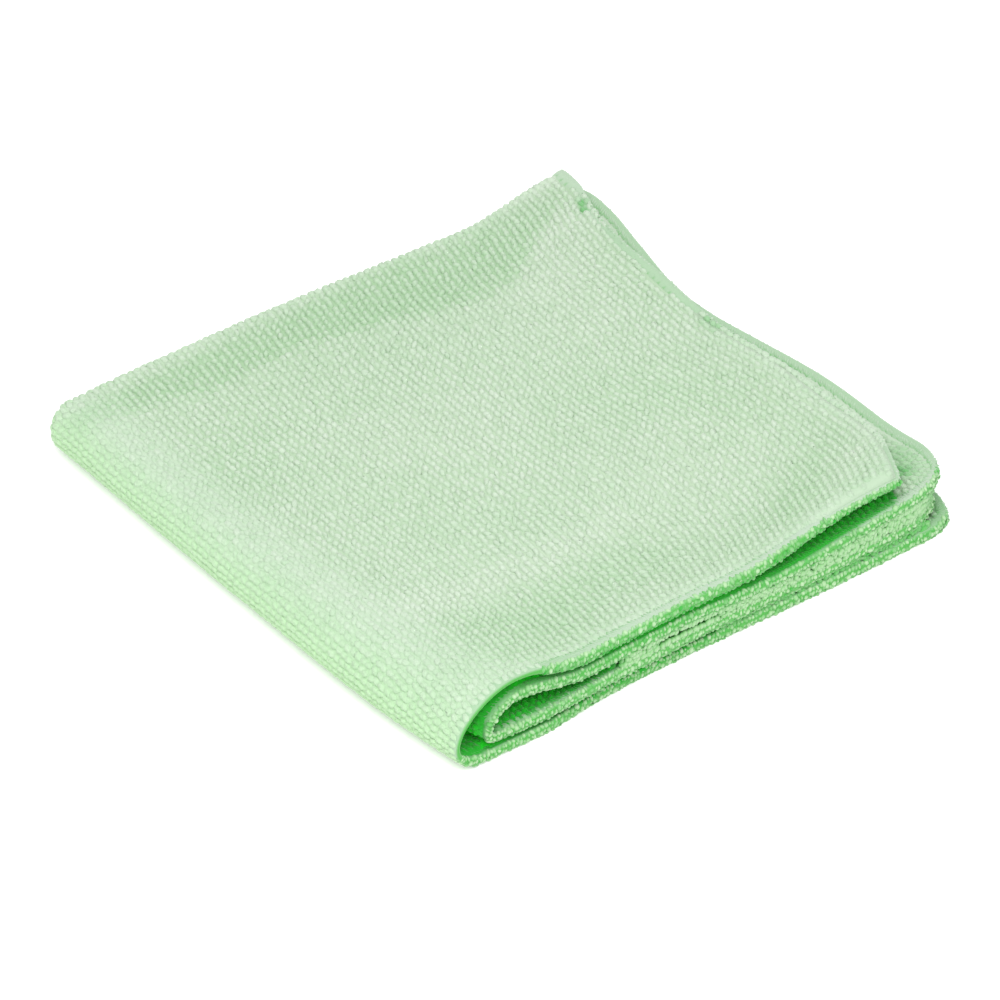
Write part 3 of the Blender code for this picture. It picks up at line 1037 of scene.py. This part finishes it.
def hem_threads(material):
    """Fine threads laid aslant over the hem, from its needle holes to its rim."""
    chance = np.random.default_rng(31)
    threads = Knots(2, 6)
    tip = 0.35 + 0.65 * threads.height
    ring = border(THREAD_PITCH)
    count = len(ring[0])
    for front in (True, False):
        facing = 1.0 if front else -1.0
        slide = chance.normal(0, 0.12, count)
        inwards = THREAD_MIDDLE + chance.normal(0, 0.15, count)
        u, v, edge_u, edge_v, place, outward, along, up = beside_border(ring, slide, inwards, facing)
        slant = chance.normal(0.45, 0.25, count)[:, None]
        ahead = unit(outward + slant * along)
        axes = np.stack([ahead, np.cross(up, ahead), up], 1)
        # the top layer's far hem has its pile over it instead
        kept = ~((edge_u > 0.99) & (edge_v > 0) & front)
        lift = HEM_HALF * hem_fullness(u, v) - THREAD_SUNK
        lift = lift + facing * TURNED_SHIFT * turned_in(u, v)
        size = np.array(THREAD_SIZE) * (1 + chance.normal(0, 0.12, (count, 3)))
        # painted shade on the hem, with tone that differs at random
        tone_and_shade = hem_shade(edge_u, edge_v, front) + chance.normal(0, 0.12, count)
        gap_shade = painted_gap_shade(u, v, front, on_hem=True)
        place = place + lift[:, None] * up
        threads.add(place[kept], axes[kept], size[kept], tip, tone_and_shade[kept], gap_shade[kept])
    return threads.piece("hem_threads", material)


def edge_curls(name, material, far):
    """Curled thread over the far edges or the side edges: rows of small knots."""
    chance = np.random.default_rng(23)
    curls = Knots(3, 6)
    # share of the lit colour over the painted shade between the knots
    tip = 0.75 + 0.25 * curls.height if far else curls.height
    ring = border(CURL_PITCH)
    on_far_edge = ring[2] != 0
    count = len(on_far_edge)
    for degrees, offset, gap_shade, deep_top in CURL_ROWS:
        slide = (offset - 0.25) * CURL_PITCH + chance.normal(0, 0.18, count)
        u, v, _, _, place, outward, along, normal = beside_border(ring, slide, CURL_CENTRE)
        angle = np.radians(degrees) + chance.normal(0, 0.16, count)
        full = hem_fullness(u, v)
        turned = turned_in(u, v)
        rim = outward * (CURL_CENTRE * np.cos(angle))[:, None]
        rim = rim + normal * (0.92 * (HEM_HALF * full) * np.sin(angle) + TURNED_SHIFT * turned)[:, None]
        up = unit(outward * np.cos(angle)[:, None] + normal * np.sin(angle)[:, None])
        slant = chance.normal(0.25, 0.45, count)
        ahead = unit(np.cross(up, along) + slant[:, None] * along)
        axes = np.stack([ahead, np.cross(up, ahead), up], 1)
        # every other knot is smaller and darker
        odd = (np.arange(count) + round(2 * offset)) % 2
        size = np.array(CURL_SIZE) * (1 + chance.normal(0, 0.2, (count, 3)))
        size = size * (1 - 0.22 * odd)[:, None] * (FAR_CURL_SHARE if far else 1.0)
        size = size * np.minimum(0.55 + 0.65 * full, 1.0)[:, None]
        tone_and_shade = 0.2 + 0.5 * odd + chance.normal(0, 0.25, count)
        # painted gap shade on the edge's knots, most on the top layer's edge over +X
        top_edge = (u > 0.5 * BEND_SHARE) & (v > 0.9)
        share = np.where(top_edge, deep_top, gap_shade) + chance.normal(0, 0.11, count)
        share = 0.0 * v if far else np.clip(share, 0.0, 0.5)
        kept = (on_far_edge == far) & (turned < 0.6)
        place = place + rim - 0.12 * up
        curls.add(place[kept], axes[kept], size[kept], tip, tone_and_shade[kept], share[kept])
    return curls.piece(name, material)


def between_edges(material):
    """Pile standing out between the stacked edges over the +X side."""
    chance = np.random.default_rng(41)
    knots = Knots(3, 6)
    count = int(LENGTH_U / 2 / FILL_PITCH)
    share = np.linspace(1.3 * BEND_SHARE, 0.985, count)

    def edge_point(signs, at, inwards):
        return folded(signs[0] * at, signs[1] * (1 - 2 * inwards / LENGTH_V))

    for upper, lower, low, high, inwards, widest, gap_shade in FILLS:
        top_gap = upper == (1, 1)
        for rows, row in FILL_ROWS:
            at = share + chance.normal(0, 0.0015, count)
            clear = edge_point(upper, at, inwards) - edge_point(lower, at, inwards)
            clear = np.linalg.norm(clear, axis=-1) - 2 * HEM_HALF
            wanted = np.clip(np.ceil(clear / FILL_ROW), 1, 3)
            # the top gap is filled where it opens at the far corner, not where it does over the bend
            wide = widest + 1.8 * ramp(0.40, 0.55, at) * top_gap
            kept = (wanted == rows) & (clear < wide) & (at > low) & (at < high)
            if not kept.any():
                continue
            # it starts and ends deeper inside, with a slot in the middle of its height
            sunk = 5.0 * fall(low, low + 0.05, at) * (low > 0) + 3.0 * ramp(0.93, 0.985, at)
            slot = (low > 0) * (abs(row) < 0.6) * ramp(0.36, 0.40, at) * fall(0.47, 0.52, at)
            sunk = np.maximum(sunk, FILL_SLOT * slot)
            if top_gap:
                sunk = sunk + 1.6 * np.clip(clear - 2.0, 0.0, None)
            sunk = inwards + sunk
            over = edge_point(upper, at, sunk)
            under = edge_point(lower, at, sunk)
            middle = (over + under) / 2
            deeper = (edge_point(upper, at, sunk + 3) + edge_point(lower, at, sunk + 3)) / 2
            outward = unit(middle - deeper)
            upwards = unit(over - under)
            along = unit(np.cross(outward, upwards))
            loose = ramp(0.45, 0.75, at)
            stray = chance.normal(0, 0.10, count) + chance.normal(0, 0.45, count) * loose
            place = middle + upwards * (row * clear / 2 + stray)[:, None]
            width = np.clip(clear / (2 * rows) + 0.45, 0.6, 1.3) * (1 + 0.25 * loose)
            # the knots close up at the far corner, where their edge turns away
            length = FILL_SIZE[0] + 0.75 * ramp(0.91, 0.955, at)
            size = np.stack([length, width, np.full(count, FILL_SIZE[1])], 1)
            size = size * (1 + chance.normal(0, 0.16, (count, 3)))
            axes = np.stack([along, np.cross(outward, along), outward], 1)
            tone_and_shade = 0.4 + chance.normal(0, 0.25, int(kept.sum()))
            # painted gap shade, more where the knots sit deeper in the gap
            most = 0.8 - 0.65 * ramp(0.90, 0.95, at)
            darker = np.clip(gap_shade + 0.22 * (sunk - inwards), 0.0, most)
            knots.add(place[kept], axes[kept], size[kept], knots.height, tone_and_shade, darker[kept])
    return knots.piece("between_edges", material)


# ---- stage and camera


def glowing(name, colour, glow):
    """Matt material that glows a little, in white."""
    matt = {"Base Color": (*colour, 1.0), "Roughness": 0.9, "Specular IOR Level": 0.0}
    light = {"Emission Color": (1.0, 1.0, 1.0, 1.0), "Emission Strength": glow}
    return principled(name, {**matt, **light})[0]


def make_floor():
    """Wide sheet of white paper."""
    mesh = bpy.data.meshes.new("floor")
    corners = [(x * FLOOR_HALF, y * FLOOR_HALF, 0) for x, y in ((-1, -1), (1, -1), (1, 1), (-1, 1))]
    mesh.from_pydata(corners, [], [(0, 1, 2, 3)])
    mesh.materials.append(glowing("floor_paper", FLOOR_COLOUR, FLOOR_GLOW))
    floor = new_object("floor", mesh)


def make_lights():
    """White light from all round, and a round soft light above the near right side."""
    world = bpy.data.worlds.new("studio")
    world.use_nodes = True
    background = world.node_tree.nodes["Background"]
    set_inputs(background, {"Color": (1.0, 1.0, 1.0, 1.0), "Strength": WORLD_STRENGTH})
    bpy.context.scene.world = world
    data = bpy.data.lights.new("key", "AREA")
    data.shape = "DISK"
    data.size = KEY_SIZE
    data.energy = KEY_POWER
    light = new_object("key", data)
    light.location = KEY_PLACE
    light.rotation_mode = "QUATERNION"
    light.rotation_quaternion = (-Vector(KEY_PLACE)).to_track_quat("-Z", "Y")


def make_camera():
    """Long lens at the photograph's angle."""
    azimuth = np.radians(AZIMUTH)
    elevation = np.radians(ELEVATION)
    level_back = np.cos(elevation)
    back = Vector(
        (np.sin(azimuth) * level_back, -np.cos(azimuth) * level_back, np.sin(elevation))
    )
    data = bpy.data.cameras.new("camera")
    data.sensor_width = SENSOR_MM
    data.lens = SENSOR_MM * DISTANCE / VIEW_WIDTH
    data.clip_start = 0.1
    data.clip_end = 40.0
    camera = new_object("camera", data)
    camera.location = Vector(TARGET) + back * DISTANCE
    camera.rotation_mode = "QUATERNION"
    camera.rotation_quaternion = back.to_track_quat("Z", "Y")
    bpy.context.scene.camera = camera
    bpy.context.scene.view_settings.view_transform = "Standard"


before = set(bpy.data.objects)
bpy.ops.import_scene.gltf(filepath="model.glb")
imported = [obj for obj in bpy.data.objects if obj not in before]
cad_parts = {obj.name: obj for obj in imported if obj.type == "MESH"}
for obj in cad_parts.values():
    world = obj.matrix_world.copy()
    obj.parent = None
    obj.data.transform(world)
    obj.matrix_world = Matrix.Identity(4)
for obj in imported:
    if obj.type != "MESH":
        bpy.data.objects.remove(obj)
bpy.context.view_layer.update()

make_camera()
make_lights()
make_floor()

yarn = fabric("pile_yarn", PALE, ROOT_SHADE, bump_scale=1300.0, bump_depth=0.0005)
knit = fabric("knitted_ground", PALE, ROOT_SHADE, bump_scale=1800.0, bump_depth=0.0002)
thread = fabric("hem_thread", HEM, RIM_ROOT_SHADE, bump_scale=1500.0, bump_depth=0.0003)
shaded_rim_thread = fabric("shaded_rim_thread", SHADED_RIM, RIM_ROOT_SHADE, bump_scale=1500.0, bump_depth=0.0003)

sheet = ground_sheet(knit)
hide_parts("cloth")
dressing = pile(yarn)
dressing += [
    hem_band(thread),
    hem_threads(thread),
    # the side edges' thread in its colour with painted shade
    edge_curls("side_curls", shaded_rim_thread, far=False),
    edge_curls("far_curls", thread, far=True),
    between_edges(shaded_rim_thread),
]
